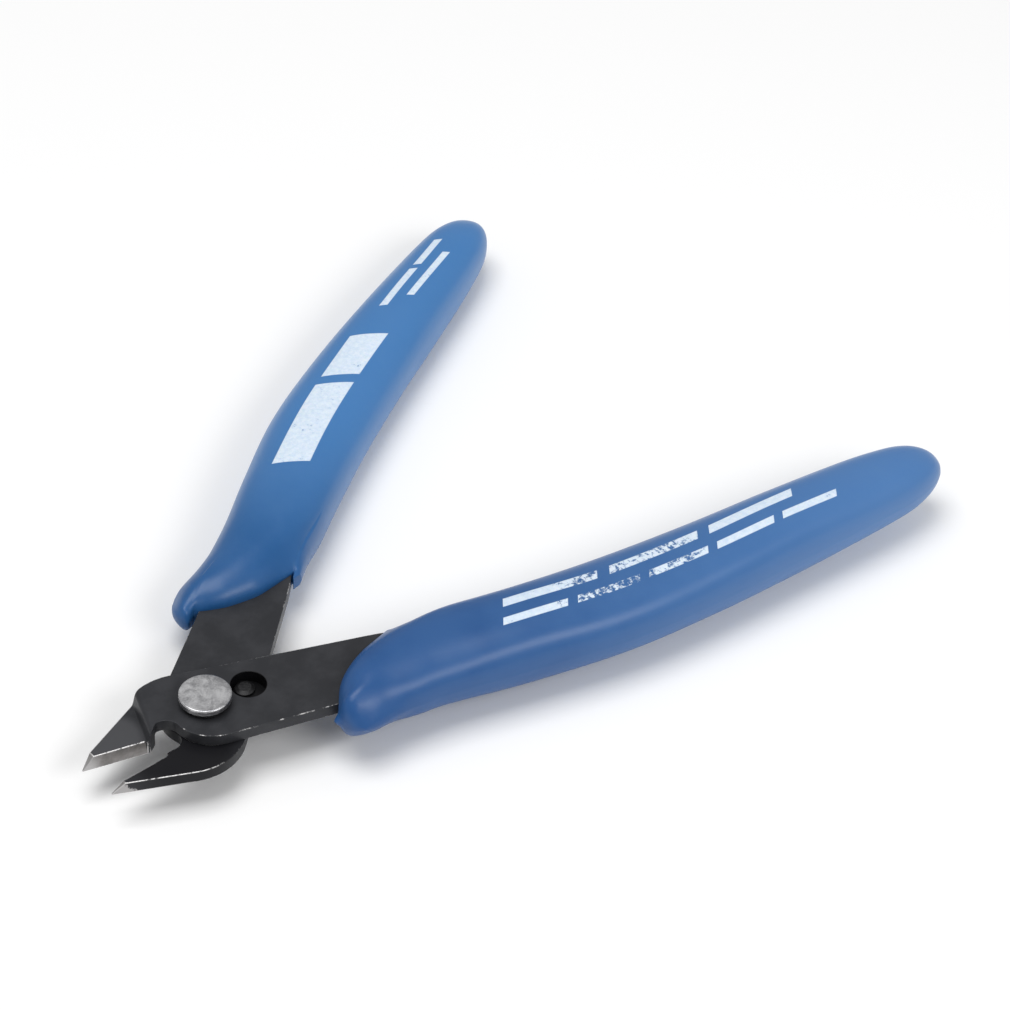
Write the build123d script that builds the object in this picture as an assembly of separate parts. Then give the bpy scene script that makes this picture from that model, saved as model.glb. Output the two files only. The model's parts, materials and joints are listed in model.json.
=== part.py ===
from build123d import *
from math import acos, atan2, cos, degrees, hypot, radians, sin
import os

# Flush cutter, millimetres. Two stamped steel levers cross at a rivet and carry dipped vinyl grips.
# Origin: on the pivot axis, at the flat underside of the rivet's formed lower head.
# +X runs between the handles, +Z up along the rivet. The tool lies open, as its spring holds it.
#
# Each lever is drawn in its own frame: "along" its handle, and "out", away from the other handle.
# The two outlines are mirror images of one pattern and differ only in the jaw.

# Driving dimensions
plate = 1.8                 # sheet thickness of both levers
sliding_gap = 0.02          # each lever's clearance to the plane where they slide
lower_head = 1.2            # thickness of the rivet's formed head
seam_z = lower_head + plate  # plane where the two levers slide on each other
handle_angle = 30.0         # each handle's direction from the tool's axis, held open
travel = 17.0               # turn of one lever against the other, open to closed
far = 300.0                 # past the whole tool, for blocks that only cut

# Jaws: the cutting line runs beside the pivot and leans off the tool's axis
cut_offset = 2.75           # cutting line's distance from the pivot axis
cut_lean = 17.6             # cutting line's angle off the tool's axis, closed
cut_start = 8.5             # inner end of the cutting edges, along the cutting line
cut_end = {1: 17.1, -1: 17.7}       # tips; the lower jaw, side 1, is ground a little shorter
bevel_lead = {1: 0.2, -1: 1.0}      # how far the bevel's grinding runs on behind the edge's inner end
edge_gap = 0.03             # each edge's clearance to the cutting line
bevel_run = 0.47            # how far the ground bevel leans back over the plate's thickness
tip_setback = 2.0           # how far the tip's ground slope leans back over the plate's thickness
tip_face = 0.25             # width of the blunt end left at each tip
grinding_reach = 4.0        # how far the blocks that cut the ground faces stand out of the jaw

# Levers
heel_r = 7.8
heel_along = -3.55
inner_edge_out = -6.06      # strap's inner edge at the pivot, and its slope
inner_edge_slope = 0.029
outer_edge_out = 6.55       # strap's outer edge at the pivot, and its slope
outer_edge_slope = -0.0544
strap_end = 24.0            # the strap stays straight this far, then becomes the tang
swell_along = [-1.2, 4.35, 9.8]          # the lower lever's inner edge swells under the window
swell_height = 1.5
hub_start = 1.3             # along the outer edge, where the hub's arc begins
hub = [(-2.7, 5.25), (-4.55, 2.8)]       # the hub's arc: a point on it and its end
throat = {                  # the throat's arc behind each jaw, likewise
    1: [(-6.0, 1.75), (-7.35, 2.35)],
    -1: [(-5.9, 1.62), (-7.15, 1.75)],
}
step_top = -8.15            # the upper jaw steps down to the lower lever's level here
step_foot = -8.75
step_inside = -7.4          # the riser's hidden side, under the upper sheet
step_round = 0.9
step_crease = 0.35

# Stop pin, riding in the upper lever's window
window_along = 6.23
window_out = -1.40
window_r = 2.37
stop_r = 1.35
stop_stem_r = 1.1           # where it is pressed into the lower lever
stop_top_r = 0.85
stop_collar = 0.3           # height of its full-width part over the sliding plane
stop_height = 0.62          # above the sliding plane
stop_depth = 0.9            # into the lower lever

# Rivet, with its washer, and the spring coiled round its shank
shank_r = 2.25              # a press fit in the lower lever
shank_fit = 0.03            # the upper lever's radial clearance on the shank
head_r = 3.5
head_thick = 0.8
head_round = 0.22
washer_r = 3.15
washer_thick = 0.85
washer_gap = 0.02

# Return spring: one bend of wire round the shank, with a straight leg let into each lever
wire_r = 0.3
coil_r = 2.85               # of the wire's centre line
leg_angle = -11.0           # each leg's direction in its own lever's frame
leg_length = 2.6
bend_points = 13            # points that the wire's curve passes on its way round the bend
pocket_r = 3.45             # round room for the bend, sunk into each lever
pocket_depth = 0.72
leg_slot = 0.8

# Grips: stations along the handle, each with the grip's inner and outer side and its half thickness
grip_stations = [
    (15.8, 4.6, 8.7, 1.8),
    (18.0, -1.0, 9.5, 3.4),
    (22.5, -5.6, 9.1, 4.3),
    (30.0, -6.4, 7.2, 4.7),
    (43.9, -7.4, 6.2, 5.3),
    (57.9, -9.4, 5.2, 5.1),
    (71.8, -11.7, 2.3, 5.2),
    (85.7, -14.4, -1.8, 5.4),
    (99.7, -17.2, -6.0, 4.7),
    (108.6, -17.9, -9.6, 3.8),
    (112.0, -17.2, -12.2, 2.3),
]
grip_power = 2.3            # the grip's section is a superellipse of this power
section_points = 16

# Mouth of the grip: it crosses the strap on a slant and reaches forward in a finger guard outside it
guard_inside = 5.75         # the guard's inner side, just over the strap's outer edge
mouth_corner = 16.9         # along the strap, where the guard ends and the slanted mouth begins
mouth_slant = [(17.8, 4.2), (19.6, 1.7), (22.8, -1.7), (27.6, -5.6), (28.8, -7.2)]

# Tang: the lever's tail inside the grip, as stations of its centre and half width
tang_stations = [
    (34.0, 0.4, 4.4),
    (50.0, -1.0, 3.9),
    (70.0, -4.6, 3.4),
    (90.0, -9.4, 2.9),
]
tang_end = (103.0, -12.9)


def turned(angle):
    """A unit vector at an angle, in degrees."""
    return cos(radians(angle)), sin(radians(angle))


def onto_lever(shape, side):
    """Moves a shape from a lever's own frame into place: side +1 is the lower lever, -1 the upper."""
    if side < 0:
        shape = mirror(shape, about=Plane.XZ)
    return shape.rotate(Axis.Z, side * handle_angle).moved(Location((0, 0, seam_z)))


def cutting_line(side):
    """In the lever's own frame: the cutting line's foot beside the pivot, its direction,
    and the direction square to it that leads into the jaw."""
    rest_turn = side * travel / 2
    along = side * (180 - cut_lean + rest_turn) - handle_angle
    foot_angle = side * (270 - cut_lean + rest_turn) - handle_angle
    line = turned(along)
    across = turned(foot_angle)
    foot = (cut_offset * across[0], cut_offset * across[1])
    return foot, line, (side * across[0], side * across[1])


def on_line(side, distance, inward=0.0):
    """A point at a distance along the cutting line, and so far into the jaw."""
    foot, line, inside = cutting_line(side)
    return tuple(foot[i] + distance * line[i] + inward * inside[i] for i in range(2))


def heel_centre():
    """The heel's arc is tangent to the strap's inner edge."""
    slope = hypot(1, inner_edge_slope)
    return heel_along, inner_edge_out + inner_edge_slope * heel_along + heel_r * slope


def heel_tangent(point):
    """Where the line from a tip touches the heel's arc, on the jaw's outer side."""
    centre = heel_centre()
    away = (point[0] - centre[0], point[1] - centre[1])
    angle = degrees(atan2(away[1], away[0]) + acos(heel_r / hypot(*away)))
    return tuple(centre[i] + heel_r * turned(angle)[i] for i in range(2))


def inner_swell():
    """The start, top and end of the swell that closes the upper lever's window from below."""
    heights = [0, swell_height, 0]
    return [
        (along, inner_edge_out + inner_edge_slope * along - height)
        for along, height in zip(swell_along, heights)
    ]


def lever_outline(side):
    """The flat pattern of a lever, in its own frame."""
    tip = on_line(side, cut_end[side] + tip_face, edge_gap)
    tip_back = on_line(side, cut_end[side], edge_gap + tip_face)
    edge_inner = on_line(side, cut_start, edge_gap)
    centre = heel_centre()
    heel_top = heel_tangent(tip_back)
    heel_foot_angle = degrees(atan2(-1, inner_edge_slope))
    heel_foot = tuple(centre[i] + heel_r * turned(heel_foot_angle)[i] for i in range(2))
    start = degrees(atan2(heel_top[1] - centre[1], heel_top[0] - centre[0]))
    heel_middle = tuple(
        centre[i] + heel_r * turned((start % 360 + heel_foot_angle % 360) / 2)[i] for i in range(2)
    )
    strap_in = (strap_end, inner_edge_out + inner_edge_slope * strap_end)
    strap_out = (strap_end, outer_edge_out + outer_edge_slope * strap_end)
    tang_in = [(along, middle - half) for along, middle, half in tang_stations]
    tang_out = [(along, middle + half) for along, middle, half in reversed(tang_stations)]
    hub_edge = (hub_start, outer_edge_out + outer_edge_slope * hub_start)
    swell = inner_swell()
    with BuildSketch() as outline:
        with BuildLine():
            Line(strap_out, hub_edge)
            ThreePointArc(hub_edge, *hub)
            ThreePointArc(hub[-1], *throat[side])
            Polyline(throat[side][-1], edge_inner, tip, tip_back, heel_top)
            ThreePointArc(heel_top, heel_middle, heel_foot)
            if side > 0:
                Line(heel_foot, swell[0])
                Spline(*swell, tangents=[(1, inner_edge_slope), (1, inner_edge_slope)])
                Line(swell[-1], strap_in)
            else:
                Line(heel_foot, strap_in)
            Spline(
                strap_in, *tang_in, tang_end, *tang_out, strap_out,
                tangents=[(1, inner_edge_slope), (-1, -outer_edge_slope)],
            )
        make_face()
    return outline.sketch


def ground_off(foot, outward, lean_back, length):
    """The block over a sloping ground face. The face rises from its foot, at the plate's underside,
    and leans back from the outward direction by so much over the plate's thickness."""
    plane = Plane(origin=(*foot, -plate), x_dir=(*outward, 0), z_dir=(outward[1], -outward[0], 0))
    over = 1.5
    section = make_face(
        Polyline(
            (0, 0), (-lean_back * over, plate * over), (grinding_reach, plate * over),
            (grinding_reach, 0), close=True,
        )
    )
    return extrude(plane * section, amount=length / 2, both=True)


def jaw_grinding(side):
    """The steel that the grinder takes off the top of a jaw: the long bevel, and the slope at the tip."""
    foot, line, inside = cutting_line(side)
    start, end = cut_start - bevel_lead[side], cut_end[side] + 3
    bevel_foot = on_line(side, (start + end) / 2, edge_gap)
    bevel = ground_off(bevel_foot, (-inside[0], -inside[1]), bevel_run, end - start)

    tip = on_line(side, cut_end[side], edge_gap + tip_face)
    heel_top = heel_tangent(tip)
    wall = Vector(tip[0] - heel_top[0], tip[1] - heel_top[1]).normalized()
    forward = (wall + Vector(*line)).normalized()
    tip_foot = Vector(*on_line(side, cut_end[side], edge_gap)) + forward * tip_face
    slope = ground_off((tip_foot.X, tip_foot.Y), (forward.X, forward.Y), tip_setback, 2 * heel_r)
    return bevel, slope


def spring_room():
    """The round pocket for the spring's bend and the slot for one leg, cut into a lever's inner face."""
    start = turned(leg_angle - 90)
    middle = turned(leg_angle)
    half = leg_length / 2
    place = tuple(coil_r * start[i] + half * middle[i] for i in range(2))
    slot = Box(leg_length + 2 * wire_r, leg_slot, 2 * pocket_depth).rotate(Axis.Z, leg_angle)
    return Cylinder(pocket_r, 2 * pocket_depth) + slot.moved(Location((*place, 0)))


def make_lower_lever():
    lever = extrude(lever_outline(1), amount=-plate)
    for cut in jaw_grinding(1):
        lever -= cut
    lever -= Box(far, far, 2 * sliding_gap)
    lever -= Cylinder(shank_r, 4 * plate)
    lever -= Pos(*stop_place(), -stop_depth / 2) * Cylinder(stop_stem_r, stop_depth)
    lever -= spring_room()
    return lever


def stop_place():
    """The stop pin stands where the window's centre is at half travel, in the lower lever's frame."""
    window = turned(-(handle_angle + degrees(atan2(window_out, window_along))) + travel / 2 - handle_angle)
    reach = hypot(window_along, window_out)
    return reach * window[0], reach * window[1]


def make_upper_lever():
    flat = extrude(lever_outline(-1), amount=plate, both=True)
    side_view = make_face(
        Polyline(
            (far, plate), (step_top, plate), (step_foot, 0), (-far, 0), (-far, -plate),
            (step_inside, -plate), (step_inside, sliding_gap), (far, sliding_gap), close=True,
        )
    )
    for corner, rounding in (((step_top, plate), step_round), ((step_foot, 0), step_crease)):
        side_view = fillet(side_view.vertices().sort_by_distance((*corner, 0))[0], rounding)
    lever = flat & extrude(Plane.XZ * side_view, amount=far, both=True)
    beyond_step = Pos(step_foot - far / 2, 0, 0) * Box(far, far, far)
    for cut in jaw_grinding(-1):
        lever -= cut & beyond_step
    lever -= Cylinder(shank_r + shank_fit, 4 * plate)
    lever -= Pos(window_along, window_out, 0) * Cylinder(window_r, 4 * plate)
    lever -= spring_room()
    return lever


def make_grip(lever, side):
    """A dipped grip: a loft along the handle, open at the slanted mouth, with the lever's tang inside."""
    sections = []
    for along, inner, outer, half_thick in grip_stations:
        middle, half_wide = (inner + outer) / 2, (outer - inner) / 2
        outline = []
        for k in range(section_points):
            across, up = turned(360 * k / section_points)
            stretch = (abs(across) ** grip_power + abs(up) ** grip_power) ** (-1 / grip_power)
            outline.append((middle + half_wide * across * stretch, half_thick * up * stretch))
        section = make_face(Spline(*outline, periodic=True))
        sections.append(Plane(origin=(along, 0, -side * plate / 2), x_dir=(0, 1, 0), z_dir=(1, 0, 0)) * section)
    body = loft(sections)
    last = mouth_slant[-1]
    with BuildSketch() as mouth:
        with BuildLine():
            Polyline((last[0], -far), (0, -far), (0, guard_inside), (mouth_corner, guard_inside))
            Spline((mouth_corner, guard_inside), *mouth_slant)
            Line(last, (last[0], -far))
        make_face()
    body -= extrude(mouth.sketch, amount=far, both=True)
    return body - lever


def make_rivet():
    """One turned piece: formed lower head, shank, and the bright upper head over the washer."""
    top = upper_head_z() + head_thick
    rivet = Pos(0, 0, top / 2) * Cylinder(shank_r, top)
    lower = Pos(0, 0, lower_head / 2) * Cylinder(head_r, lower_head)
    upper = Pos(0, 0, top - head_thick / 2) * Cylinder(head_r, head_thick)
    lower = fillet(lower.edges().sort_by(Axis.Z)[0], head_round)
    upper = fillet(upper.edges().sort_by(Axis.Z)[-1], head_round)
    return rivet + lower + upper


def upper_head_z():
    return seam_z + plate + washer_gap + washer_thick


def make_washer():
    ring = Cylinder(washer_r, washer_thick) - Cylinder(shank_r, washer_thick)
    return Pos(0, 0, upper_head_z() - washer_thick / 2) * ring


def make_stop_pin():
    """A stepped pin pressed into the lower lever. Its collar meets the window's wall at both limits."""
    side_view = make_face(
        Polyline(
            (0, -stop_depth), (stop_stem_r, -stop_depth), (stop_stem_r, -sliding_gap),
            (stop_r, -sliding_gap), (stop_r, stop_collar), (stop_top_r, stop_height),
            (0, stop_height), close=True,
        )
    )
    pin = revolve(Plane.XZ * side_view, Axis.Z)
    return pin.moved(Location((*stop_place(), 0)))


def make_spring():
    """A bend of wire round the shank that climbs from the lower lever's leg to the upper lever's."""
    leg_row = handle_angle + leg_angle
    low, climb = seam_z - pocket_depth / 2, pocket_depth
    bend = []
    for i in range(bend_points):
        share = i / (bend_points - 1)
        x, y = turned(leg_row - 90 - share * (180 + 2 * leg_row))
        bend.append((coil_r * x, coil_r * y, low + share * climb))
    way = turned(leg_row)
    start_x, start_y, _ = bend[0]
    lower_leg = [
        (start_x + reach * way[0], start_y + reach * way[1], low) for reach in (leg_length, leg_length / 2)
    ]
    upper_leg = [(x, -y, z + climb) for x, y, z in reversed(lower_leg)]
    path = Spline(*lower_leg, *bend, *upper_leg)
    wire_face = Plane(origin=path @ 0, z_dir=path % 0) * Circle(wire_r)
    return sweep(wire_face, path=path)


if __name__ == "__main__":
    os.makedirs("parts", exist_ok=True)
    lower = make_lower_lever()
    upper = make_upper_lever()
    pieces = {
        "lower_lever": onto_lever(lower, 1),
        "upper_lever": onto_lever(upper, -1),
        "lower_grip": onto_lever(make_grip(lower, 1), 1),
        "upper_grip": onto_lever(make_grip(upper, -1), -1),
        "pivot_rivet": make_rivet(),
        "rivet_washer": make_washer(),
        "stop_pin": onto_lever(make_stop_pin(), 1),
        "return_spring": make_spring(),
    }
    for name, piece in pieces.items():
        export_step(piece, f"parts/{name}.step")
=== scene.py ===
import json
import math

import bmesh
import bpy
import numpy as np
from mathutils import Matrix, Vector, noise


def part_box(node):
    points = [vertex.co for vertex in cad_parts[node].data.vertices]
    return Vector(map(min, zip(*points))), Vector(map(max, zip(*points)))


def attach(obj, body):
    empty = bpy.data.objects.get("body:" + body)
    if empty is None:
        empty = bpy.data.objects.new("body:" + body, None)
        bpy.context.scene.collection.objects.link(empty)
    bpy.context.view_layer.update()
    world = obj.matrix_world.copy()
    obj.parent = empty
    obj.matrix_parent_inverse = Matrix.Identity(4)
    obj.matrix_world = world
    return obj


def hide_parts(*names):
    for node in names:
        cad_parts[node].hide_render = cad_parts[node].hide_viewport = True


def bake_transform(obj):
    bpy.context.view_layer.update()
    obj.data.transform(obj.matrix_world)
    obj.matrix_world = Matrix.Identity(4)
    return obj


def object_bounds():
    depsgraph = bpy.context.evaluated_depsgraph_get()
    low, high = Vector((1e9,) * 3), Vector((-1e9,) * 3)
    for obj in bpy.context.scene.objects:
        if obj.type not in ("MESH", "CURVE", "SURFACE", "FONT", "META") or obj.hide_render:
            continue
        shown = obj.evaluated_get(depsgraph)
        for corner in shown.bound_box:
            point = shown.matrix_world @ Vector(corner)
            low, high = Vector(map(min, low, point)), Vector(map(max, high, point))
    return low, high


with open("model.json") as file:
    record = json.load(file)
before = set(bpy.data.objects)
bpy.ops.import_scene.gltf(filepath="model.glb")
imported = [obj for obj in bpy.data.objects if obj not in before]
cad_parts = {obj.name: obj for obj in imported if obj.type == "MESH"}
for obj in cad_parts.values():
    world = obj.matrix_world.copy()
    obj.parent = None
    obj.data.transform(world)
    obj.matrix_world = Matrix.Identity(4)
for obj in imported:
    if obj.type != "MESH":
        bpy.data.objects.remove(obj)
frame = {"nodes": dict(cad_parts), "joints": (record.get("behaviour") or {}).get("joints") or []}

cad_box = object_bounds()

# Flush cutter: black stamped levers, a bright rivet and blue dipped grips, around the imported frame.
# Lengths in the tables below are millimetres in a lever's own frame, "along" its handle and "out",
# away from the other handle, as in the CAD. Side +1 is the lower lever, -1 the upper.
MM = 0.001
HANDLE_ANGLE = math.radians(30.0)
SEAM_Z = frame["joints"][0]["pos_m"][2] / MM
PLATE = (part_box("lower_lever")[1].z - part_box("lower_lever")[0].z) / MM

# Where the levers' finish and their painted light and shade change, as (along, out) or (along, out, up
# from the seam)
TIP = {1: (-14.3, 8.3, -2.6), -1: (-17.8, 3.8, -1.6)}
TIP_BARE = {1: 0.0052, -1: 0.0030}      # the oxide is worn off this far round the tip, in metres
THROAT = (-6.1, 1.7)                    # the hollow behind the jaw
WINDOW = (6.23, -1.40)                  # middle of the stop's window, in the upper lever's frame
UPPER_FLAT_HIGHLIGHT = (-12.8, 1.0)               # middle of the painted highlight on the upper jaw's flat
LOWER_JAW_SHADE = (-7.0, 1.5)                    # middle of the painted shade on the lower jaw, toward the pivot
GROUND_TONE = {1: 1.0, -1: 0.72}        # how bright each jaw's ground steel is, the upper darker
EDGE_ROUND = 0.11                       # width of the broken edge round a stamped lever

LOWER_BODY, UPPER_BODY = "lower_half", "upper_half"
SCENE = bpy.context.scene


def to_row(side, along, out, up):
    """A point of a lever's own frame, up measured from the seam, in the row frame in metres."""
    turn_x, turn_y = math.cos(HANDLE_ANGLE), math.sin(HANDLE_ANGLE)
    return Vector((
        (along * turn_x - out * turn_y) * MM,
        side * (along * turn_y + out * turn_x) * MM,
        (SEAM_Z + up) * MM,
    ))


def to_lever(side, point):
    """The reverse of to_row."""
    turn_x, turn_y = math.cos(HANDLE_ANGLE), math.sin(HANDLE_ANGLE)
    x, y, z = point[0] / MM, side * point[1] / MM, point[2] / MM - SEAM_Z
    return x * turn_x + y * turn_y, -x * turn_y + y * turn_x, z


def smooth(low, high, value):
    """0 below low, 1 above high, smooth between."""
    t = min(max((value - low) / (high - low), 0.0), 1.0)
    return t * t * (3 - 2 * t)


def curve_through(knots):
    """A smooth function through (x, y) knots: cubic pieces with finite-difference slopes."""
    xs = [k[0] for k in knots]
    ys = [k[1] for k in knots]
    slopes = []
    for i in range(len(knots)):
        low, high = max(i - 1, 0), min(i + 1, len(knots) - 1)
        slopes.append((ys[high] - ys[low]) / (xs[high] - xs[low]))

    def value(x):
        x = min(max(x, xs[0]), xs[-1])
        i = min(max(int(np.searchsorted(xs, x)) - 1, 0), len(xs) - 2)
        width = xs[i + 1] - xs[i]
        t = (x - xs[i]) / width
        return (
            (2 * t ** 3 - 3 * t ** 2 + 1) * ys[i] + (t ** 3 - 2 * t ** 2 + t) * width * slopes[i]
            + (3 * t ** 2 - 2 * t ** 3) * ys[i + 1] + (t ** 3 - t ** 2) * width * slopes[i + 1]
        )

    return value


# ---------------------------------------------------------------- materials

def new_material(name):
    """A material, its node tree and its shader."""
    material = bpy.data.materials.new(name)
    material.use_nodes = True
    tree = material.node_tree
    return material, tree, tree.nodes["Principled BSDF"]


def node(tree, kind, inputs=None, **settings):
    """A node with its settings, each input linked when it is given an output and set when a value."""
    made = tree.nodes.new(kind)
    for key, value in settings.items():
        setattr(made, key, value)
    for key, value in (inputs or {}).items():
        if hasattr(value, "is_output"):
            tree.links.new(value, made.inputs[key])
        else:
            made.inputs[key].default_value = value
    return made


def math_node(tree, operation, a, b=0.0, c=0.0):
    return node(tree, "ShaderNodeMath", {0: a, 1: b, 2: c}, operation=operation).outputs[0]


def span(tree, value, low, high, to_low=0.0, to_high=1.0):
    """value mapped smoothly from low..high to to_low..to_high."""
    return node(
        tree, "ShaderNodeMapRange",
        {"Value": value, "From Min": low, "From Max": high, "To Min": to_low, "To Max": to_high},
        interpolation_type="SMOOTHSTEP",
    ).outputs[0]


def mix_colour(tree, factor, a, b):
    return node(
        tree, "ShaderNodeMix", {"Factor": factor, "A": a, "B": b}, data_type="RGBA",
    ).outputs["Result"]


def noise_at(tree, scale, detail=4.0, rough=0.55, stretch=None, coords=None, distortion=0.0):
    """Noise in object space. scale is in waves per metre; stretch scales the axes first."""
    if coords is None:
        coords = node(tree, "ShaderNodeTexCoord").outputs["Object"]
    if stretch:
        turn, factors = stretch
        coords = node(
            tree, "ShaderNodeMapping", {"Vector": coords, "Rotation": (0, 0, turn), "Scale": factors}
        ).outputs[0]
    return node(
        tree, "ShaderNodeTexNoise",
        {
            "Vector": coords, "Scale": scale, "Detail": detail, "Roughness": rough,
            "Distortion": distortion,
        },
    ).outputs["Fac"]


def bump(tree, shader, height, depth, strength, before=None):
    """Bumps depth metres high on the shader, laid over the bumps that came before."""
    made = node(tree, "ShaderNodeBump", {"Height": height, "Distance": depth, "Strength": strength})
    if before is not None:
        tree.links.new(before, made.inputs["Normal"])
    tree.links.new(made.outputs[0], shader.inputs["Normal"])
    return made.outputs[0]


def near(tree, coords, place, inner, outer, flat=False):
    """1 within inner of a place, in metres, and 0 beyond outer. flat measures it seen from above."""
    if flat:
        level = node(tree, "ShaderNodeVectorMath", {0: coords, 1: (1, 1, 0)}, operation="MULTIPLY")
        coords, place = level.outputs[0], (place[0], place[1], 0)
    away = node(tree, "ShaderNodeVectorMath", {0: coords, 1: tuple(place)}, operation="DISTANCE")
    return span(tree, away.outputs["Value"], inner, outer, 1.0, 0.0)


def oxide_steel(name, side, edge):
    """Black oxide on stamped steel: satin and slightly mottled, with rubbed patches, and ground through
    to bare metal round the jaw's tip. On an edge it is rubbed off in a broken line, most at the jaw."""
    material, tree, shader = new_material(name)
    coords = node(tree, "ShaderNodeTexCoord").outputs["Object"]
    mottle = noise_at(tree, 260.0, 5.0, 0.6, coords=coords)
    grain = noise_at(tree, 5200.0, 3.0, 0.6, coords=coords)
    rub = noise_at(tree, 900.0, 6.0, 0.7, coords=coords, distortion=0.4)
    dark = mix_colour(
        tree, span(tree, mottle, 0.35, 0.68), (0.031, 0.032, 0.036, 1), (0.042, 0.043, 0.048, 1)
    )
    # Painted light on the jaws: a painted highlight makes the upper jaw's flat a paler grey, and painted
    # shade makes the lower jaw black toward the pivot
    if side < 0:
        # Painted highlight: a round patch of paler grey on the upper jaw's flat
        flat = near(tree, coords, to_row(side, *UPPER_FLAT_HIGHLIGHT, 0.0), 0.0030, 0.0048)
        dark = mix_colour(tree, flat, dark, (0.070, 0.071, 0.077, 1))
    else:
        # Painted shade: the lower jaw goes near black toward the pivot
        jaw_shade = near(tree, coords, to_row(side, *LOWER_JAW_SHADE, 0.0), 0.0050, 0.0105)
        dark = mix_colour(tree, jaw_shade, dark, (0.008, 0.008, 0.010, 1))
    # Painted shade: inside the stop's window, on both levers, the oxide is painted near black
    window = near(tree, coords, to_row(-1, *WINDOW, 0.0), 0.00242, 0.00252, flat=True)
    dark = mix_colour(tree, window, dark, (0.005, 0.005, 0.006, 1))
    tip_area = near(tree, coords, to_row(side, *TIP[side]), 0.0006, TIP_BARE[side])
    tip_bare = span(tree, math_node(tree, "MULTIPLY_ADD", rub, 0.8, tip_area), 0.92, 1.0)
    if edge:
        jaw = near(tree, coords, to_row(side, *TIP[side]), 0.010, 0.015)
        quiet = near(tree, coords, to_row(side, *THROAT, 0.0), 0.0016, 0.0034)
        fine = noise_at(tree, 3000.0, 3.0, 0.6, coords=coords)
        broken = noise_at(tree, 420.0, 4.0, 0.75, coords=coords)
        both = math_node(tree, "MULTIPLY_ADD", fine, 0.45, broken)
        both = math_node(tree, "MULTIPLY_ADD", jaw, 0.16, both)
        both = math_node(tree, "SUBTRACT", both, math_node(tree, "MAXIMUM", quiet, window))
        bare = math_node(tree, "MAXIMUM", span(tree, both, 0.72, 0.90), tip_bare)
    else:
        bare = math_node(tree, "MAXIMUM", span(tree, rub, 0.70, 0.80, 0.0, 0.16), tip_bare)
    bright = (0.56, 0.55, 0.55, 1) if edge else (0.40, 0.39, 0.39, 1)
    tree.links.new(mix_colour(tree, bare, dark, bright), shader.inputs["Base Color"])
    tree.links.new(math_node(tree, "MULTIPLY_ADD", bare, 0.75, 0.15), shader.inputs["Metallic"])
    rough = math_node(tree, "MULTIPLY_ADD", grain, 0.10, span(tree, mottle, 0.3, 0.7, 0.27, 0.35))
    tree.links.new(rough, shader.inputs["Roughness"])
    shader.inputs["Specular IOR Level"].default_value = 0.2
    first = bump(tree, shader, grain, 0.00002, 0.35)
    bump(tree, shader, mottle, 0.00012, 0.25, first)
    return material


def ground_steel(name, side):
    """Steel fresh from the wheel, with fine scratches along the edge, brightest round the tip."""
    material, tree, shader = new_material(name)
    coords = node(tree, "ShaderNodeTexCoord").outputs["Object"]
    scratches = noise_at(tree, 2600.0, 4.0, 0.7, stretch=(0.3, (0.15, 1.0, 0.5)), coords=coords)
    stain = noise_at(tree, 420.0, 4.0, 0.6, coords=coords)
    both = math_node(tree, "MULTIPLY_ADD", scratches, 0.5, math_node(tree, "MULTIPLY", stain, 0.6))
    tone = GROUND_TONE[side]
    low = tuple(0.26 * tone * c for c in (1.0, 0.95, 0.92)) + (1,)
    high = tuple(0.42 * tone * c for c in (1.0, 0.96, 0.94)) + (1,)
    steel = mix_colour(tree, span(tree, both, 0.38, 0.72), low, high)
    tip_area = near(tree, coords, to_row(side, *TIP[side]), 0.0012, 0.0034)
    tree.links.new(mix_colour(tree, tip_area, steel, (0.48, 0.47, 0.47, 1)), shader.inputs["Base Color"])
    shader.inputs["Metallic"].default_value = 0.9
    tree.links.new(span(tree, scratches, 0.3, 0.7, 0.34, 0.50), shader.inputs["Roughness"])
    bump(tree, shader, scratches, 0.00002, 0.5)
    return material


def rivet_steel():
    """Bright turned head, peened a little: faint clouds over a fine concentric lathe finish."""
    material, tree, shader = new_material("rivet_steel")
    coords = node(tree, "ShaderNodeTexCoord").outputs["Object"]
    clouds = noise_at(tree, 520.0, 5.0, 0.62, coords=coords, distortion=0.6)
    specks = noise_at(tree, 4200.0, 3.0, 0.6, coords=coords)
    rings = node(
        tree, "ShaderNodeTexWave",
        {"Vector": coords, "Scale": 900.0, "Distortion": 2.5, "Detail": 3.0, "Detail Scale": 2.0},
        wave_type="RINGS", rings_direction="Z",
    ).outputs["Fac"]
    both = math_node(tree, "MULTIPLY_ADD", specks, 0.35, clouds)
    grey = mix_colour(tree, span(tree, both, 0.48, 0.86), (0.37, 0.37, 0.385, 1), (0.66, 0.66, 0.67, 1))
    tree.links.new(grey, shader.inputs["Base Color"])
    shader.inputs["Metallic"].default_value = 1.0
    tree.links.new(span(tree, clouds, 0.3, 0.7, 0.32, 0.46), shader.inputs["Roughness"])
    first = bump(tree, shader, rings, 0.000008, 0.30)
    bump(tree, shader, clouds, 0.00004, 0.35, first)
    return material


def black_steel(name):
    """Dark oiled steel of the small turned parts."""
    material, tree, shader = new_material(name)
    grain = noise_at(tree, 4200.0, 4.0, 0.65)
    black = mix_colour(
        tree, span(tree, grain, 0.35, 0.7), (0.008, 0.008, 0.009, 1), (0.024, 0.024, 0.026, 1)
    )
    tree.links.new(black, shader.inputs["Base Color"])
    shader.inputs["Metallic"].default_value = 0.3
    tree.links.new(span(tree, grain, 0.3, 0.7, 0.30, 0.48), shader.inputs["Roughness"])
    bump(tree, shader, grain, 0.00002, 0.4)
    return material


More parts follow.
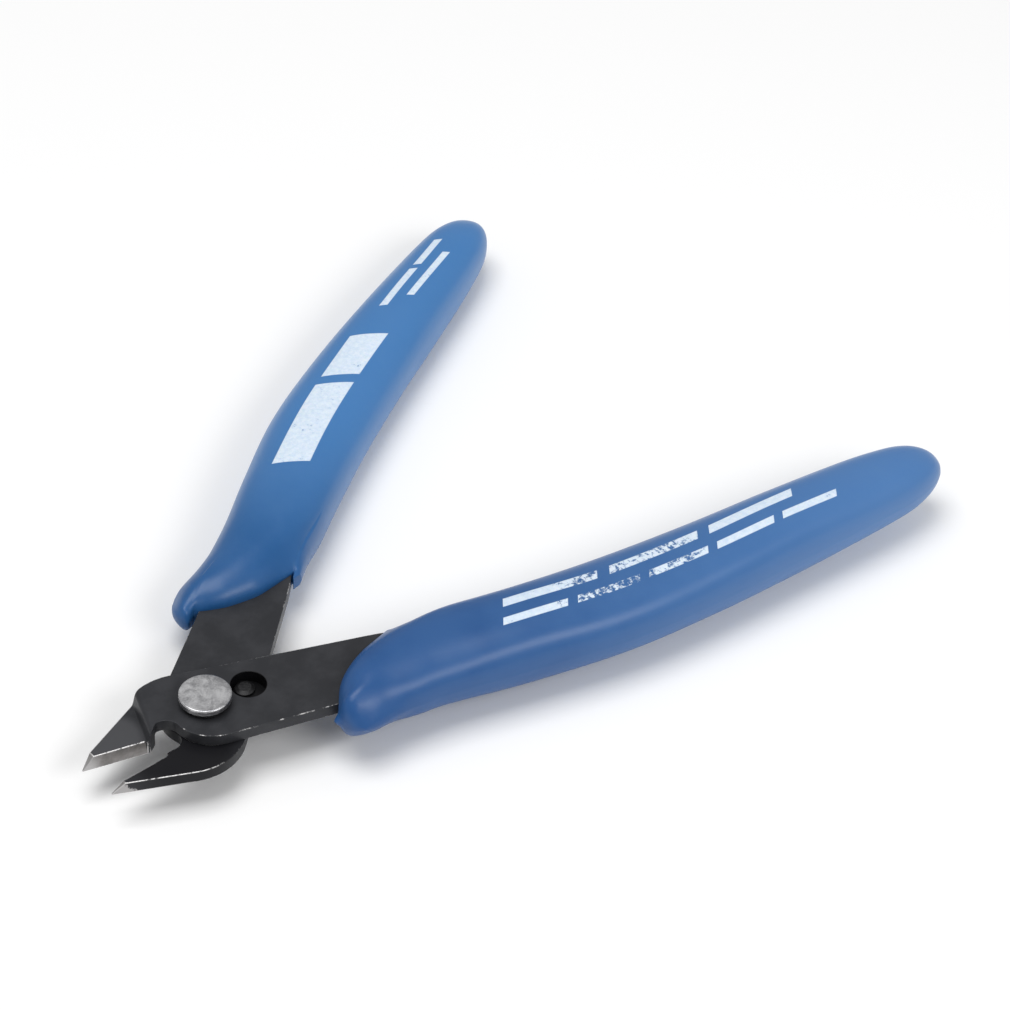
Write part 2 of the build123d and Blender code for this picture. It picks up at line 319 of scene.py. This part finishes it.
def spring_wire():
    """Bright drawn wire."""
    material, tree, shader = new_material("spring_wire")
    drawn = noise_at(tree, 6000.0, 3.0, 0.6)
    grey = mix_colour(tree, span(tree, drawn, 0.3, 0.7), (0.34, 0.34, 0.36, 1), (0.56, 0.56, 0.58, 1))
    tree.links.new(grey, shader.inputs["Base Color"])
    shader.inputs["Metallic"].default_value = 1.0
    tree.links.new(span(tree, drawn, 0.3, 0.7, 0.25, 0.4), shader.inputs["Roughness"])
    bump(tree, shader, drawn, 0.00001, 0.4)
    return material


def bar_mask(tree, along, across, bar):
    """1 inside a printed bar. slant shears its ends, and a break of length gap repeats every pitch."""
    start, end, centre, width, slant, pitch, gap = bar
    soft = 0.07     # half width of the print's soft edge
    lean = math_node(tree, "MULTIPLY_ADD", across, slant, along)
    off_line = math_node(tree, "ABSOLUTE", math_node(tree, "SUBTRACT", across, centre))
    inside = span(tree, off_line, width / 2 - soft, width / 2 + soft, 1.0, 0.0)
    inside = math_node(tree, "MULTIPLY", inside, span(tree, lean, start - soft, start + soft))
    inside = math_node(tree, "MULTIPLY", inside, span(tree, lean, end - soft, end + soft, 1.0, 0.0))
    if pitch:
        past_start = math_node(tree, "SUBTRACT", lean, start)
        place = math_node(tree, "FRACT", math_node(tree, "DIVIDE", past_start, pitch))
        share = gap / pitch
        edge = soft / pitch
        open_part = span(tree, place, 1 - share - edge, 1 - share + edge, 1.0, 0.0)
        inside = math_node(tree, "MULTIPLY", inside, open_part)
    return inside


def dipped_vinyl(name, bars, wear_middle, wear_amount, shaded_head_blue, sheen_end_blue, sheen_full_by):
    """Blue plastisol with a soft skin, fine pores and scuffs, its blue darkened by painted shade at the
    grip's head and paled by a painted sheen toward its end, full at the last argument's length along the
    grip, and plain printed bars that have rubbed away in places, most around wear_middle along the grip."""
    material, tree, shader = new_material(name)
    along = node(tree, "ShaderNodeAttribute", attribute_name="along").outputs["Fac"]
    across = node(tree, "ShaderNodeAttribute", attribute_name="across").outputs["Fac"]
    top = node(tree, "ShaderNodeAttribute", attribute_name="top").outputs["Fac"]
    cloud = noise_at(tree, 55.0, 4.0, 0.6)
    pores = noise_at(tree, 2600.0, 3.0, 0.55)
    ripple = noise_at(tree, 190.0, 3.0, 0.5)
    # Painted shade darkens the blue at the grip's head, and a painted sheen pales it toward the end
    blue = mix_colour(tree, span(tree, along, GRIP_HEAD, sheen_full_by), shaded_head_blue, sheen_end_blue)
    paler = mix_colour(tree, 0.22, blue, (0.09, 0.22, 0.47, 1))
    blue = mix_colour(tree, span(tree, cloud, 0.3, 0.7), blue, paler)
    scuffs = noise_at(tree, 700.0, 6.0, 0.75, stretch=(0.4, (1.0, 0.35, 1.0)), distortion=0.6)
    scuffed = span(tree, scuffs, 0.68, 0.78, 0.0, 0.20)
    blue = mix_colour(tree, scuffed, blue, (0.15, 0.25, 0.42, 1))
    ink = None
    for bar in bars:
        mask = bar_mask(tree, along, across, bar)
        ink = mask if ink is None else math_node(tree, "MAXIMUM", ink, mask)
    ink = math_node(tree, "MULTIPLY", ink, top)
    flakes = noise_at(tree, 1500.0, 5.0, 0.7)
    patches = noise_at(tree, 160.0, 3.0, 0.6)
    off_wear = math_node(tree, "ABSOLUTE", math_node(tree, "SUBTRACT", along, wear_middle))
    local_wear = span(tree, off_wear, 4.0, 16.0, wear_amount, 0.0)
    keep = math_node(tree, "MULTIPLY_ADD", patches, 0.5, flakes)
    keep = math_node(tree, "SUBTRACT", keep, local_wear)
    ink = math_node(tree, "MULTIPLY", ink, span(tree, keep, 0.46, 0.60))
    ink_colour = mix_colour(
        tree, span(tree, flakes, 0.3, 0.7), (0.60, 0.72, 0.86, 1), (0.74, 0.83, 0.93, 1)
    )
    tree.links.new(mix_colour(tree, ink, blue, ink_colour), shader.inputs["Base Color"])
    base_rough = span(tree, cloud, 0.3, 0.7, 0.26, 0.32)
    rough = math_node(tree, "MULTIPLY_ADD", pores, 0.08, base_rough)
    rough = math_node(tree, "MULTIPLY_ADD", ink, 0.12, rough)
    tree.links.new(rough, shader.inputs["Roughness"])
    shader.inputs["Specular IOR Level"].default_value = 0.38
    shader.inputs["IOR"].default_value = 1.5
    shader.inputs["Subsurface Weight"].default_value = 0.08
    shader.inputs["Subsurface Radius"].default_value = (0.0006, 0.0010, 0.0022)
    shader.inputs["Subsurface Scale"].default_value = 1.0
    first = bump(tree, shader, pores, 0.00002, 0.30)
    second = bump(tree, shader, ripple, 0.00025, 0.16, first)
    bump(tree, shader, ink, 0.00003, 0.8, second)
    return material


# ---------------------------------------------------------------- grips

# Stations along the handle, as (along, inner side, outer side, half thickness)
GRIP = {
    1: [
        (14.0, -5.0, 9.7, 3.8), (19.0, -6.0, 9.7, 4.1), (21.0, -6.1, 9.2, 4.2),
        (23.2, -6.2, 8.36, 4.3), (25.0, -6.3, 7.85, 4.4), (26.8, -6.4, 7.35, 4.55),
        (28.6, -6.5, 6.95, 4.65), (35.0, -7.0, 6.3, 5.0), (43.9, -7.7, 6.0, 5.3),
        (57.9, -9.4, 5.1, 5.1), (71.8, -11.7, 2.2, 5.2), (85.7, -14.4, -1.8, 5.4),
        (99.7, -17.1, -6.1, 4.7), (108.6, -18.2, -9.2, 4.1), (113.4, -18.5, -10.4, 3.7),
    ],
    -1: [
        (14.0, -5.0, 10.0, 4.8), (19.0, -6.0, 9.2, 4.8), (22.0, -6.2, 8.5, 4.6),
        (25.0, -6.25, 8.45, 4.6), (27.6, -6.3, 8.2, 4.65), (30.0, -6.3, 7.7, 4.7),
        (43.9, -6.95, 6.75, 5.3), (57.9, -8.95, 5.45, 5.1), (71.8, -11.5, 2.3, 5.2),
        (85.7, -14.4, -1.8, 5.4), (99.7, -17.4, -6.0, 4.7), (108.6, -18.4, -9.0, 4.1),
        (113.4, -18.7, -10.3, 3.7),
    ],
}
GRIP_HEAD = 16.0            # from here the painted shade on the grip's blue gives way to a painted sheen
GRIP_END = {1: 112.5, -1: 113.1}
GRIP_CAP = 8.0              # length of the rounded end
LINE_FROM = 17.0            # the mould line begins here
# Each mouth's line over the strap, as (out, along): a slant across the strap, a corner over its outer
# edge, and the finger guard that reaches forward outside it. The lower grip has a small flap as well,
# on the strap's inner side.
MOUTH = {
    1: [
        (-6.5, 28.55), (-6.35, 28.3), (-6.0, 27.75), (-5.7, 27.3), (-5.5, 27.0), (-5.38, 27.1),
        (-5.28, 28.3), (-5.15, 28.05),
        (-3.6, 25.7), (-1.7, 22.8), (0.1, 21.2), (2.1, 19.65), (4.3, 18.55), (5.5, 18.1), (6.2, 17.85),
        (6.36, 17.5), (6.38, 16.9), (6.42, 16.5), (6.55, 16.3), (6.9, 16.2), (7.4, 16.22), (7.9, 16.4),
        (8.5, 16.85), (9.05, 17.5), (9.4, 18.35), (9.6, 19.6),
    ],
    -1: [
        (-6.5, 28.5), (-6.0, 27.5), (-5.1, 26.2), (-3.4, 23.9), (-1.9, 21.8), (-0.3, 20.0), (1.0, 18.8),
        (2.1, 17.9), (3.5, 17.1), (5.2, 16.5), (5.8, 16.3), (6.4, 16.05), (7.1, 15.9), (7.8, 15.9),
        (8.4, 16.05), (9.1, 16.45), (9.7, 17.0), (10.1, 17.7), (10.35, 18.6),
    ],
}
MOUTH_MIDDLE = {1: 1.6, -1: 2.35}       # middle of the mouth across the lever, and its half width
MOUTH_HALF = {1: 7.95, -1: 8.0}
CORNER = (19.0, 6.4)        # the mouth's corner, as (along, out), where the guard leaves the strap

# The mesh: lines from the inner side to the outer side of one face, crossed by rings from mouth to end
LINES = 64
CLOSE_LINES = ((6.2, 0.8), (-5.45, 0.5))    # lines crowd at the mouth's corner and flap: out, reach
FRONT_RINGS = 16
BODY_RINGS = 84
END_RINGS = 12
FRONT_LENGTH = 6.0          # the front rings follow the mouth's line over this length
CAP_TURN = math.radians(88.0)   # the end's rings stop here, and one strip of faces closes the rest
GUARD_SOFT = [(2.8, 6), (2.2, 8), (1.6, 8)]     # smoothing round the mouth's corner: reach, passes

LIP = {1: 5.6, -1: 4.8}     # how far back from its mouth a grip takes to reach its full thickness
GUARD_LIP = 2.3             # the same at the guard
BLUNT_OUT = (4.0, 7.4)      # across the mouth, the lip's length changes to the guard's over this,
BLUNT_ALONG = (17.0, 24.0)  # and back again along the grip
NOSE_HALF = 0.2             # half thickness of the guard's foremost edge
LIP_STAND = 0.10            # how far the lip stands off the strap
SETTLE = (10.0, 2.0)        # the mouth's width becomes the grip's over this length, less on the outside
GUARD_FROM = {1: (6.2, 6.8), -1: (5.6, 6.4)}    # the guard stands beside the strap from here outward
SECTION_POWER = 2.4         # roundness of the grip's section
CAP_POWER = 2.2             # roundness of its end, seen from above
SWELLS = 0.018              # share by which a grip's thickness wanders, as hand-dipped ones do
FLASH = (0.22, 0.035, 0.10)     # mould line: half width, height, extra height of its flecks
NUB = (16.1, 7.5, -0.2)     # the drip left at the upper grip's guard: along, out, up from the plate
NUB_SIZE = (1.0, 0.58)      # its height and half width

INNER, OUTER, HALF_THICK = (
    {side: curve_through([(row[0], row[i]) for row in rows]) for side, rows in GRIP.items()}
    for i in (1, 2, 3)
)


def middle_out(side, along):
    return (INNER[side](along) + OUTER[side](along)) / 2


def mouth_along(side, out):
    return float(np.interp(out, [m[0] for m in MOUTH[side]], [m[1] for m in MOUTH[side]]))


def from_mouth(side, along, out):
    """The distance of a point to the mouth's line, seen from above."""
    line = np.array([(m[1], m[0]) for m in MOUTH[side]])
    starts, steps = line[:-1], np.diff(line, axis=0)
    to_point = np.array((along, out)) - starts
    share = np.clip((to_point * steps).sum(1) / (steps ** 2).sum(1), 0, 1)
    return float(np.sqrt(((to_point - share[:, None] * steps) ** 2).sum(1).min()))


def section_angles():
    """The angle of every line round the section, closest together at the mouth's corner and flap."""
    angles = np.linspace(math.pi, 0.0, 721)
    outs = MOUTH_MIDDLE[1] + MOUTH_HALF[1] * np.cos(angles)
    density = np.ones_like(outs)
    for place, reach in CLOSE_LINES:
        density += 4 * np.exp(-((outs - place) / reach) ** 2)
    total = np.cumsum(density)
    total = (total - total[0]) / (total[-1] - total[0])
    return np.interp(np.linspace(0, 1, LINES + 1), total, angles)


ANGLES = section_angles()


def section_point(k):
    """Line k of the upper face as fractions across and up: a superellipse, inner side to outer side."""
    across, up = math.cos(ANGLES[k]), math.sin(ANGLES[k])
    stretch = (abs(across) ** SECTION_POWER + abs(up) ** SECTION_POWER) ** (-1 / SECTION_POWER)
    return across * stretch, up * stretch


def grip_surface(side, k, ring):
    """One point of the upper face, in the lever's own frame with up measured from the plate's middle."""
    across, up = section_point(k)
    mouth_out = MOUTH_MIDDLE[side] + MOUTH_HALF[side] * math.cos(ANGLES[k])
    start = mouth_along(side, mouth_out)
    cap_start = GRIP_END[side] - GRIP_CAP
    if ring <= FRONT_RINGS:
        along = start + FRONT_LENGTH * (1 - math.cos(math.pi / 2 * ring / FRONT_RINGS))
    elif ring <= FRONT_RINGS + BODY_RINGS:
        share = (ring - FRONT_RINGS) / BODY_RINGS
        along = (start + FRONT_LENGTH) * (1 - share) + cap_start * share
    else:
        share = (ring - FRONT_RINGS - BODY_RINGS) / END_RINGS
        along = cap_start + GRIP_CAP * math.sin(CAP_TURN * share)
    closing = max(0.0, (along - cap_start) / GRIP_CAP)
    rounding = (1 - closing ** CAP_POWER) ** (1 / CAP_POWER)
    middle = middle_out(side, along)
    half = OUTER[side](along) - middle
    settle = smooth(0.0, SETTLE[0] - SETTLE[1] * across, along - start)
    out = mouth_out * (1 - settle) + (middle + half * across * rounding) * settle
    rise = HALF_THICK[side](along) * up * rounding
    # The lip stands on the strap, but the guard, beside it, closes to a round nose
    guard = smooth(*GUARD_FROM[side], out)
    foot = (PLATE / 2 + LIP_STAND) * (1 - guard) + NOSE_HALF * guard
    blunt = smooth(*BLUNT_OUT, out) * (1 - smooth(*BLUNT_ALONG, along))
    back = min(from_mouth(side, along, out) / (LIP[side] * (1 - blunt) + GUARD_LIP * blunt), 1.0)
    full = math.sqrt(max(0.0, 1 - (1 - back) ** 2))
    height = foot + (rise - foot) * full if rise > foot else rise
    return along, out, height


def make_grip(name, side, nub):
    """A dipped grip: both faces from the same lines, closed over the rounded end and at the mouth."""
    bm = bmesh.new()
    fields = {}
    upper_rows, lower_rows = [], []
    for ring in range(FRONT_RINGS + BODY_RINGS + END_RINGS + 1):
        upper, lower = [], []
        for k in range(LINES + 1):
            along, out, height = grip_surface(side, k, ring)
            height *= 1 + SWELLS * noise.noise(Vector((along * 0.09 + 11 * side, out * 0.16, 3.0)))
            if k in (0, LINES):
                height = 0.0
            for row, sign in ((upper, 1), (lower, -1)):
                if sign < 0 and k in (0, LINES):
                    row.append(upper[k])
                    continue
                vert = bm.verts.new(to_row(side, along, out, sign * height - side * PLATE / 2))
                fields[vert] = (along, out, max(sign, 0))
                row.append(vert)
        upper_rows.append(upper)
        lower_rows.append(lower)
    for rows in (upper_rows, lower_rows):
        for a, b in zip(rows, rows[1:]):
            for k in range(LINES):
                bm.faces.new([a[k], a[k + 1], b[k + 1], b[k]])
    for upper, lower in ((upper_rows[0], lower_rows[0]), (upper_rows[-1], lower_rows[-1])):
        for k in range(LINES):
            bm.faces.new(dict.fromkeys([upper[k], upper[k + 1], lower[k + 1], lower[k]]))
    rim = set(upper_rows[0] + lower_rows[0])
    for reach, passes in GUARD_SOFT:
        soft = [
            v for v in bm.verts
            if v not in rim and math.dist(fields[v][:2], CORNER) < reach
        ]
        for _ in range(passes):
            bmesh.ops.smooth_vert(
                bm, verts=soft, factor=0.5, use_axis_x=True, use_axis_y=True, use_axis_z=True,
            )
    bmesh.ops.recalc_face_normals(bm, faces=bm.faces)
    values = [fields[v] for v in bm.verts]
    mesh = bpy.data.meshes.new(name)
    bm.to_mesh(mesh)
    bm.free()
    columns = {
        "along": [v[0] for v in values],
        "across": [v[1] - middle_out(side, v[0]) for v in values],
        "top": [v[2] for v in values],
    }
    for attribute, numbers in columns.items():
        mesh.attributes.new(attribute, "FLOAT", "POINT").data.foreach_set("value", numbers)
    mesh.polygons.foreach_set("use_smooth", [True] * len(mesh.polygons))
    grip = bpy.data.objects.new(name, mesh)
    SCENE.collection.objects.link(grip)
    detail_grip(grip, side, nub)
    finer = grip.modifiers.new("finer", "SUBSURF")
    finer.levels = finer.render_levels = 1
    return grip


def detail_grip(grip, side, nub):
    """The mould line round the outer side with its flecks of flash, and the nub if the grip has one."""
    half_width, line_height, fleck_height = FLASH
    nub_height, nub_reach = NUB_SIZE
    for vert, normal in [(v, v.normal.copy()) for v in grip.data.vertices]:
        along, out, up = to_lever(side, vert.co)
        level = up + side * PLATE / 2
        outward = out - middle_out(side, along)
        fleck = max(0.0, noise.noise(Vector((along * 1.7, side * 5.0, 0.5))))
        if outward > 0 and along > LINE_FROM:
            rise = line_height + fleck_height * fleck ** 2
            vert.co += normal * math.exp(-(level / half_width) ** 2) * rise * MM
        if nub:
            reach = (Vector((along, out, level)) - Vector(nub)).length
            vert.co += normal * nub_height * math.exp(-(reach / nub_reach) ** 2) * MM


# ---------------------------------------------------------------- steel pieces

def clean_copy(node_name):
    """A copy of a CAD node's mesh, its flat faces whole again and its slivers closed up."""
    bm = bmesh.new()
    bm.from_mesh(frame["nodes"][node_name].data)
    bmesh.ops.remove_doubles(bm, verts=bm.verts, dist=0.001 * MM)
    bmesh.ops.dissolve_limit(bm, angle_limit=math.radians(0.4), verts=bm.verts, edges=bm.edges)
    bmesh.ops.dissolve_degenerate(bm, dist=0.06 * MM, edges=bm.edges)
    return bm


JAW_BACK = -7.0             # nothing behind this is ground
TIP_BACK = -12.0            # ahead of this every sloping face is ground
RUN_OUT = (-8.45, -7.2)     # the throat's wall here is where the wheel ran out, on the upper lever


def is_ground(side, face):
    """True for the jaw's sloping ground faces: the long bevel, the slope at the tip, and the run-out."""
    along, out, up = to_lever(side, face.calc_center_median())
    slope = math.hypot(face.normal.x, face.normal.y)
    if side < 0 and RUN_OUT[0] < along < RUN_OUT[1] and out > 1.7 and slope > 0.95 and up < 0.4:
        return True
    if along > JAW_BACK or face.normal.z < 0.02 or slope < 0.05:
        return False
    ahead = to_lever(side, face.calc_center_median() + face.normal * MM)
    return (ahead[1] - out) / slope > 0.5 or along < TIP_BACK


def make_lever(node_name, side, body):
    """The CAD's lever with its stamped edges rounded off and rubbed bright."""
    bm = clean_copy(node_name)
    for face in bm.faces:
        face.material_index = 1 if is_ground(side, face) else 0
        face.smooth = True
    stamped = [
        e for e in bm.edges
        if len(e.link_faces) == 2 and e.is_convex and e.calc_face_angle() > math.radians(28.0)
    ]
    bmesh.ops.bevel(
        bm, geom=stamped, offset=EDGE_ROUND * MM, offset_type="OFFSET", segments=2, profile=0.5,
        affect="EDGES", clamp_overlap=False, material=2,
    )
    for edge in bm.edges:
        edge.smooth = len(edge.link_faces) == 2 and edge.calc_face_angle() < math.radians(32.0)
    mesh = bpy.data.meshes.new(node_name + "_steel")
    bm.to_mesh(mesh)
    bm.free()
    lever = bpy.data.objects.new(node_name + "_steel", mesh)
    SCENE.collection.objects.link(lever)
    shade = lever.modifiers.new("flat faces", "WEIGHTED_NORMAL")
    shade.keep_sharp = True
    mesh.materials.append(oxide_steel(node_name + "_oxide", side, 0))
    mesh.materials.append(ground_steel(node_name + "_ground", side))
    mesh.materials.append(oxide_steel(node_name + "_worn", side, 1))
    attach(lever, body)
    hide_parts(node_name)


def make_spring():
    """A copy of the CAD's spring in bright wire, with its placing baked into the mesh."""
    spring = bpy.data.objects.new("return_spring_wire", frame["nodes"]["return_spring"].data.copy())
    SCENE.collection.objects.link(spring)
    spring.data.materials.clear()
    spring.data.materials.append(spring_wire())
    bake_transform(spring)
    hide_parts("return_spring")


# ---------------------------------------------------------------- the tool

# Printed bars: start, end, line across, width, lean, then the pitch and the length of their breaks.
# A grip's look: its bars, where they are most worn and how much, the blue of its head, dark with painted
# shade, and of its end, pale with a painted sheen, and how far along the grip that sheen is full.
LOWER_BARS = [
    (46.0, 64.5, 0.2, 5.0, 0.35, 0.0, 0.0),
    (66.5, 76.5, 0.2, 5.0, 0.35, 0.0, 0.0),
    (84.0, 103.0, 1.3, 1.1, 0.35, 11.5, 1.2),
    (86.5, 99.0, -1.3, 1.0, 0.35, 0.0, 0.0),
]
UPPER_BARS = [
    (41.0, 87.0, -1.7, 1.6, 0.35, 16.0, 1.9),
    (41.0, 94.3, 1.6, 1.2, 0.35, 11.0, 1.5),
]
LOWER_LOOK = (LOWER_BARS, 60.0, 0.02, (0.004, 0.070, 0.225, 1), (0.056, 0.196, 0.460, 1), 60.0)
UPPER_LOOK = (UPPER_BARS, 60.0, 0.22, (0.005, 0.060, 0.215, 1), (0.070, 0.188, 0.430, 1), 110.0)

make_lever("lower_lever", 1, LOWER_BODY)
make_lever("upper_lever", -1, UPPER_BODY)
for node_name, side, body, look, nub in (
    ("lower_grip", 1, LOWER_BODY, LOWER_LOOK, None),
    ("upper_grip", -1, UPPER_BODY, UPPER_LOOK, NUB),
):
    grip = make_grip(node_name + "_vinyl", side, nub)
    grip.data.materials.append(dipped_vinyl(node_name + "_vinyl", *look))
    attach(grip, body)
    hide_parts(node_name)
make_spring()

# The small turned parts keep the CAD's shape
for node_name, material in (
    ("pivot_rivet", rivet_steel()),
    ("rivet_washer", black_steel("washer_black")),
    ("stop_pin", black_steel("stop_black")),
):
    for slot in frame["nodes"][node_name].material_slots:
        slot.material = material


# ---------------------------------------------------------------- floor, light and camera

def make_floor():
    """A plain pale floor just under the tool's lowest point."""
    mesh = bpy.data.meshes.new("floor")
    half, level = 3.0, cad_box[0][2] - 0.0002
    corners = [(-half, -half, level), (half, -half, level), (half, half, level), (-half, half, level)]
    mesh.from_pydata(corners, [], [(0, 1, 2, 3)])
    floor = bpy.data.objects.new("floor", mesh)
    SCENE.collection.objects.link(floor)
    material, _, shader = new_material("floor_pale")
    shader.inputs["Base Color"].default_value = (0.98, 0.98, 0.98, 1)
    shader.inputs["Roughness"].default_value = 0.85
    shader.inputs["Specular IOR Level"].default_value = 0.2
    mesh.materials.append(material)


def area_light(name, place, target, size, power):
    """A rectangular lamp at place that faces target, with its power in watts."""
    data = bpy.data.lights.new(name, "AREA")
    data.shape = "RECTANGLE"
    data.size, data.size_y = size
    data.energy = power
    lamp = bpy.data.objects.new(name, data)
    lamp.location = place
    lamp.rotation_euler = (Vector(target) - Vector(place)).to_track_quat("-Z", "Y").to_euler()
    SCENE.collection.objects.link(lamp)


def make_light():
    """A soft white room with one large lamp overhead and one low in front."""
    world = bpy.data.worlds.new("studio")
    SCENE.world = world
    world.use_nodes = True
    room = world.node_tree.nodes["Background"]
    room.inputs["Color"].default_value = (1.0, 1.0, 1.0, 1)
    room.inputs["Strength"].default_value = 0.40
    middle = (0.04, 0.0, 0.0)
    area_light("overhead", (-0.07, 0.09, 0.80), middle, (0.52, 0.52), 3.7)
    area_light("front", (0.0, -0.66, 0.56), middle, (0.50, 0.26), 2.3)


def make_camera():
    """Looks down at the tool from beyond the jaws, along the upper lever's side of it."""
    place = Vector((-0.1958, -0.2013, 0.2901))
    look_down, heading, roll = math.radians(41.754), math.radians(51.908), math.radians(2.858)
    forward = Vector((
        math.sin(heading) * math.cos(look_down),
        math.cos(heading) * math.cos(look_down),
        -math.sin(look_down),
    ))
    level = Vector((math.cos(heading), -math.sin(heading), 0))
    above = level.cross(forward)
    right = level * math.cos(roll) + above * math.sin(roll)
    top = above * math.cos(roll) - level * math.sin(roll)
    turn = Matrix((right, top, -forward)).transposed()
    data = bpy.data.cameras.new("camera")
    data.lens = 108.96
    data.sensor_width = 36.0
    data.clip_start, data.clip_end = 0.01, 20.0
    camera = bpy.data.objects.new("camera", data)
    camera.matrix_world = Matrix.Translation(place) @ turn.to_4x4()
    SCENE.collection.objects.link(camera)
    SCENE.camera = camera


make_floor()
make_light()
make_camera()
SCENE.view_settings.view_transform = "Standard"
